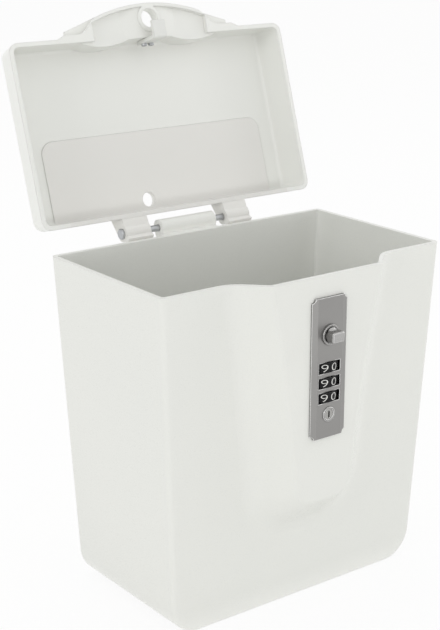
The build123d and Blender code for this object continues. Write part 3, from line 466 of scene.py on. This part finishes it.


# Each colour is a base tone with faint patches, then the painted shade in hollows and joints, which for the white
# shell is a painted glow of bounced light, and the painted highlight along edges.
plastics = {
    "shellPlastic": {
        "colour": (0.800, 0.806, 0.768),
        "patchColour": (0.788, 0.796, 0.760),
        # Lighter than the base: a painted glow of bounced light in the shell's hollows and joints.
        "hollowShadeAndGlowColour": (0.95, 0.95, 0.92),
        "hollowShadeAndGlowAmount": 0.8,
        "edgeHighlightColour": (0.97, 0.97, 0.95),
        "edgeHighlightAmount": 0.8,
        "surface": {"Grain Scale": 2400, "Patch Scale": 9},
        "roughness": (0.22, 0.36),
        "ior": 1.49,
        "grainStrength": 0.10,
        "grainDepth": 0.0001,
        "edgeRadius": 0.0009,
        "hollowReach": 0.016,
    },
    "lidPlasticLightened": {
        # A lighter copy of the shell's plastic: its base tone is raised as painted light on the lid, and its rear
        # panel gets a darker painted shade.
        "colour": (0.840, 0.845, 0.810),
        "patchColour": (0.825, 0.833, 0.797),
        "rearPanelShadeColour": (0.785, 0.778, 0.746),
        "hollowShadeAndGlowColour": (0.74, 0.725, 0.695),
        "hollowShadeAndGlowAmount": 0.25,
        "edgeHighlightColour": (0.88, 0.88, 0.86),
        "edgeHighlightAmount": 0.45,
        "surface": {"Grain Scale": 2400, "Patch Scale": 9},
        "roughness": (0.26, 0.40),
        "ior": 1.49,
        "grainStrength": 0.10,
        "grainDepth": 0.0001,
        "edgeRadius": 0.0009,
        "hollowReach": 0.010,
    },
    "coverPlastic": {
        "colour": (0.770, 0.775, 0.745),
        "patchColour": (0.755, 0.762, 0.733),
        "hollowShadeAndGlowColour": (0.62, 0.61, 0.58),
        "hollowShadeAndGlowAmount": 0.5,
        "edgeHighlightColour": (0.88, 0.88, 0.86),
        "edgeHighlightAmount": 0.4,
        "surface": {"Grain Scale": 1500, "Patch Scale": 14},
        "roughness": (0.42, 0.56),
        "ior": 1.49,
        "grainStrength": 0.22,
        "grainDepth": 0.0001,
        "edgeRadius": 0.0005,
        "hollowReach": 0.008,
    },
    "casePlastic": {
        "colour": (0.030, 0.030, 0.032),
        "patchColour": (0.022, 0.022, 0.023),
        "hollowShadeAndGlowColour": (0.010, 0.010, 0.010),
        "hollowShadeAndGlowAmount": 0.6,
        "edgeHighlightColour": (0.09, 0.09, 0.09),
        "edgeHighlightAmount": 0.5,
        "surface": {"Grain Scale": 1800, "Patch Scale": 40},
        "roughness": (0.40, 0.60),
        "ior": 1.49,
        "grainStrength": 0.30,
        "grainDepth": 0.0001,
        "edgeRadius": 0.0003,
        "hollowReach": 0.005,
    },
    "wheelPlastic": {
        "colour": (0.010, 0.010, 0.011),
        "patchColour": (0.007, 0.007, 0.008),
        "hollowShadeAndGlowColour": (0.004, 0.004, 0.004),
        "hollowShadeAndGlowAmount": 0.6,
        "edgeHighlightColour": (0.16, 0.16, 0.16),
        "edgeHighlightAmount": 0.7,
        "surface": {"Grain Scale": 4000, "Patch Scale": 120},
        "roughness": (0.40, 0.55),
        "ior": 1.25,
        "grainStrength": 0.20,
        "grainDepth": 0.00005,
        "edgeRadius": 0.0002,
        "hollowReach": 0.002,
    },
    "digitPaint": {
        "colour": (0.83, 0.83, 0.80),
        "patchColour": (0.70, 0.70, 0.67),
        "hollowShadeAndGlowColour": (0.60, 0.60, 0.58),
        "hollowShadeAndGlowAmount": 0.3,
        # Here the edge colour is darker than the base, so the digits' edges come out darker.
        "edgeHighlightColour": (0.75, 0.75, 0.73),
        "edgeHighlightAmount": 0.3,
        "surface": {"Grain Scale": 5000, "Patch Scale": 600},
        "roughness": (0.45, 0.60),
        "ior": 1.49,
        "grainStrength": 0.20,
        "grainDepth": 0.00003,
        "edgeRadius": 0.00005,
        "hollowReach": 0.001,
    },
}
metals = {
    "plateMetal": {
        "colour": (0.305, 0.300, 0.292),
        "patchColour": (0.285, 0.280, 0.273),
        "lineColour": (0.36, 0.355, 0.345),
        "lineAmount": 0.35,
        "hollowShadeAndGlowColour": (0.10, 0.10, 0.10),
        "hollowShadeAndGlowAmount": 0.6,
        "edgeHighlightColour": (0.98, 0.98, 0.97),
        "edgeHighlightAmount": 1,
        "surface": {"Grain Scale": 3000, "Patch Scale": 30},
        "brush": {"Line Scale": 5200, "Stretch": 0.03},
        "roughness": (0.30, 0.46),
        "lineStrength": 0.12,
        "lineDepth": 0.00003,
        "edgeRadius": 0.0006,
        "hollowReach": 0.0012,
    },
    "brightMetal": {
        "colour": (0.42, 0.415, 0.407),
        "patchColour": (0.39, 0.385, 0.378),
        "lineColour": (0.62, 0.615, 0.605),
        "lineAmount": 0.3,
        "hollowShadeAndGlowColour": (0.035, 0.035, 0.035),
        "hollowShadeAndGlowAmount": 0.9,
        "edgeHighlightColour": (0.95, 0.95, 0.94),
        "edgeHighlightAmount": 0.9,
        "surface": {"Grain Scale": 3000, "Patch Scale": 90},
        "brush": {"Line Scale": 4000, "Stretch": 0.5},
        "roughness": (0.18, 0.32),
        "lineStrength": 0.08,
        "lineDepth": 0.00003,
        "edgeRadius": 0.0004,
        "hollowReach": 0.0020,
    },
    "keyMetal": {
        "colour": (0.42, 0.415, 0.40),
        "patchColour": (0.37, 0.365, 0.35),
        "lineColour": (0.50, 0.495, 0.48),
        "lineAmount": 0.3,
        "hollowShadeAndGlowColour": (0.015, 0.015, 0.015),
        "hollowShadeAndGlowAmount": 1,
        "edgeHighlightColour": (0.80, 0.79, 0.77),
        "edgeHighlightAmount": 0.6,
        "surface": {"Grain Scale": 3500, "Patch Scale": 150},
        "brush": {"Line Scale": 5000, "Stretch": 0.6},
        "roughness": (0.20, 0.34),
        "lineStrength": 0.10,
        "lineDepth": 0.00003,
        "edgeRadius": 0.0002,
        "hollowReach": 0.0022,
    },
    "sleeveBrass": {
        "colour": (0.72, 0.53, 0.25),
        "patchColour": (0.62, 0.44, 0.19),
        "lineColour": (0.80, 0.63, 0.34),
        "lineAmount": 0.35,
        "hollowShadeAndGlowColour": (0.20, 0.13, 0.05),
        "hollowShadeAndGlowAmount": 0.6,
        "edgeHighlightColour": (0.90, 0.76, 0.46),
        "edgeHighlightAmount": 0.5,
        "surface": {"Grain Scale": 2500, "Patch Scale": 110},
        "brush": {"Line Scale": 3200, "Stretch": 0.9},
        "roughness": (0.22, 0.38),
        "lineStrength": 0.15,
        "lineDepth": 0.00003,
        "edgeRadius": 0.0002,
        "hollowReach": 0.002,
    },
    "zincSteel": {
        "colour": (0.50, 0.51, 0.52),
        "patchColour": (0.40, 0.41, 0.43),
        "lineColour": (0.60, 0.61, 0.62),
        "lineAmount": 0.3,
        "hollowShadeAndGlowColour": (0.30, 0.30, 0.30),
        "hollowShadeAndGlowAmount": 0.4,
        "edgeHighlightColour": (0.80, 0.80, 0.79),
        "edgeHighlightAmount": 0.5,
        "surface": {"Grain Scale": 2600, "Patch Scale": 220},
        "brush": {"Line Scale": 3000, "Stretch": 0.3},
        "roughness": (0.26, 0.44),
        "lineStrength": 0.15,
        "lineDepth": 0.00003,
        "edgeRadius": 0.0002,
        "hollowReach": 0.002,
    },
}
finishes = {name: mouldedPlastic(name, look) for name, look in plastics.items()}
finishes.update({name: satinMetal(name, look) for name, look in metals.items()})
print("materials ready")


# The finish of each of the record's material slots, and the pieces that look different from it.
slotFinish = {
    "shell_plastic": "shellPlastic",
    "cover_plastic": "coverPlastic",
    "case_plastic": "casePlastic",
    "wheel_plastic": "wheelPlastic",
    "plate_metal": "plateMetal",
    "bright_metal": "brightMetal",
    "key_metal": "keyMetal",
    "sleeve_brass": "sleeveBrass",
    "steel": "zincSteel",
}
# The lid takes its own lighter plastic, a painted-light copy of the shell's.
ownFinish = {"lid_shell": "lidPlasticLightened", "key_housing": "plateMetal", "knob_bush": "plateMetal"}
for subpart in frame["record"]["subparts"]:
    finishName = ownFinish.get(subpart["node"], slotFinish[subpart["material_slot"]])
    for materialSlot in nodes[subpart["node"]].material_slots:
        materialSlot.material = finishes[finishName]
print("solids dressed")


# White digits, printed a little proud of each black wheel.
digits = {
    "count": 10,
    "height": 0.0042,  # metres, as are the next three
    "width": 0.0049,
    "proud": 0.00006,
    "thickness": 0.00025,
    "narrowest": 0.45,  # text units: a glyph's least width, so that the 1 isn't drawn out
    "thinner": 0.020,  # text units: what the strokes lose at each side
    "mergeWithin": 1e-4,  # text units
    "curveSteps": 6,
    "firstAngle": 16,  # degrees from the front to the 0
    "slices": 9,
}


def digitShape(number):
    # One digit as a flat mesh, centred, standing in the XZ plane and facing -Y.
    words = bpy.data.curves.new("digitText", "FONT")
    words.body = str(number)
    words.resolution_u = digits["curveSteps"]
    words.offset = -digits["thinner"]
    textObject = bpy.data.objects.new("digitText", words)
    scene.collection.objects.link(textObject)
    flat = bpy.data.meshes.new_from_object(textObject)
    shape = bmesh.new()
    shape.from_mesh(flat)
    bpy.data.objects.remove(textObject)
    bpy.data.curves.remove(words)
    bpy.data.meshes.remove(flat)
    bmesh.ops.remove_doubles(shape, verts=shape.verts, dist=digits["mergeWithin"])
    xs = [vert.co.x for vert in shape.verts]
    ys = [vert.co.y for vert in shape.verts]
    middle = Vector(((min(xs) + max(xs)) / 2, (min(ys) + max(ys)) / 2, 0))
    across = max(max(xs) - min(xs), digits["narrowest"])
    stretch = (digits["width"] / across, digits["height"] / (max(ys) - min(ys)), 1)
    bmesh.ops.translate(shape, verts=shape.verts, vec=-middle)
    bmesh.ops.scale(shape, verts=shape.verts, vec=stretch)
    upright = Matrix.Rotation(math.radians(90), 3, "X")
    bmesh.ops.rotate(shape, verts=shape.verts, matrix=upright)
    return shape


def bendRound(shape, radius):
    # Cuts a flat digit into upright slices and lays them on the wheel's round face.
    for cut in range(1, digits["slices"]):
        x = digits["width"] * (cut / digits["slices"] - 0.5)
        everything = shape.verts[:] + shape.edges[:] + shape.faces[:]
        bmesh.ops.bisect_plane(
            shape,
            geom=everything,
            plane_co=(x, 0, 0),
            plane_no=(1, 0, 0),
        )
    for vert in shape.verts:
        angle = vert.co.x / radius
        vert.co.x = radius * math.sin(angle)
        vert.co.y = -radius * math.cos(angle)


for wheelNumber in (1, 2, 3):
    wheelLow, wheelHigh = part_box(f"number_wheel_{wheelNumber}")
    wheelRadius = (wheelHigh.x - wheelLow.x) / 2
    axis = Vector(joints[f"dial_{wheelNumber}_turn"]["pos_m"])
    centre = Vector((axis.x, axis.y, (wheelLow.z + wheelHigh.z) / 2))
    ringMesh = bpy.data.meshes.new(f"digits_{wheelNumber}")
    ringShape = bmesh.new()
    for number in range(digits["count"]):
        digit = digitShape(number)
        bendRound(digit, wheelRadius + digits["proud"])
        angle = math.radians(digits["firstAngle"] + 360 / digits["count"] * number)
        bmesh.ops.rotate(digit, verts=digit.verts, matrix=Matrix.Rotation(angle, 3, "Z"))
        digit.to_mesh(ringMesh)
        digit.free()
        ringShape.from_mesh(ringMesh)

    # A second skin, drawn in towards the wheel's axis, gives the print its thickness.
    sunk = bmesh.ops.extrude_face_region(ringShape, geom=ringShape.faces[:], use_keep_orig=True)
    sunkVerts = [item for item in sunk["geom"] if isinstance(item, bmesh.types.BMVert)]
    shrink = 1 - digits["thickness"] / wheelRadius
    bmesh.ops.scale(ringShape, verts=sunkVerts, vec=(shrink, shrink, 1))
    bmesh.ops.recalc_face_normals(ringShape, faces=ringShape.faces)
    bmesh.ops.translate(ringShape, verts=ringShape.verts, vec=centre)
    ringShape.to_mesh(ringMesh)
    ringShape.free()
    ring = meshObject(f"digits_{wheelNumber}", ringMesh, finishes["digitPaint"])
    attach(ring, f"dial_{wheelNumber}")
print("digits ready")
